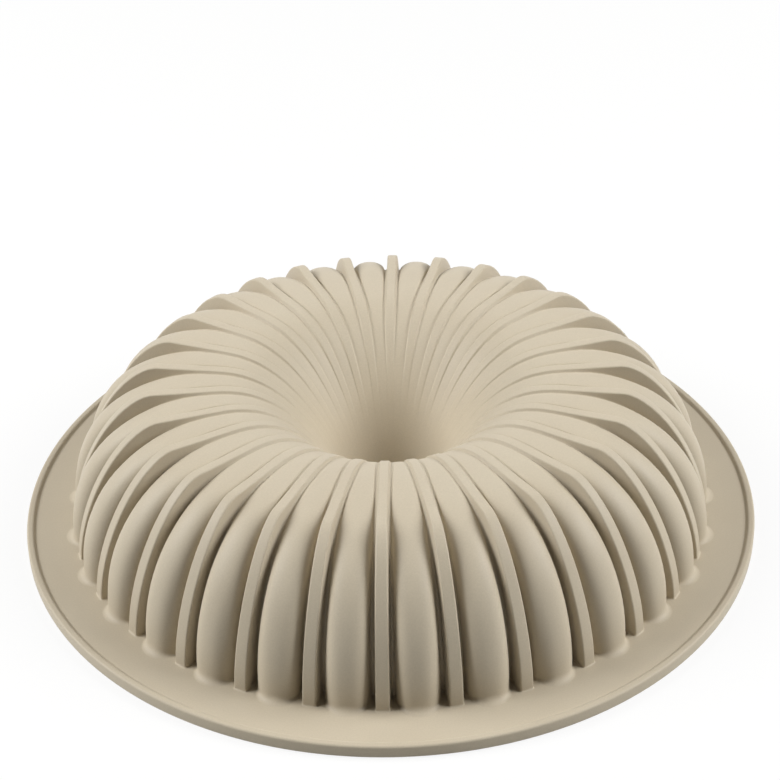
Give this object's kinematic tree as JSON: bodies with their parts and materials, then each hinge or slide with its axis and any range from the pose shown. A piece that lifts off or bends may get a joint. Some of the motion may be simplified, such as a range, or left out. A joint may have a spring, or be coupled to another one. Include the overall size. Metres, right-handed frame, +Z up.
{
  "type": "silicone cake mould",
  "caption": "Fluted ring cake mould with narrow fins between rounded lobes, a closed central funnel, and a flat brim with a wire-stiffened bead.",
  "frame": {"origin": "centre of the rim's underside, on the surface that the mould lies on", "axes": "+Z up along the funnel's axis, with the crown up as pictured; one fin points along -Y, towards the viewer"},
  "size_m": [0.2538, 0.254, 0.0533],
  "materials": {
    "silicone": "satin matte, taupe",
    "steel_wire": "drawn wire"
  },
  "bodies": {
    "root": {"silicone_mould": "silicone", "rim_wire_ring": "steel_wire"}
  },
  "joints": []
}
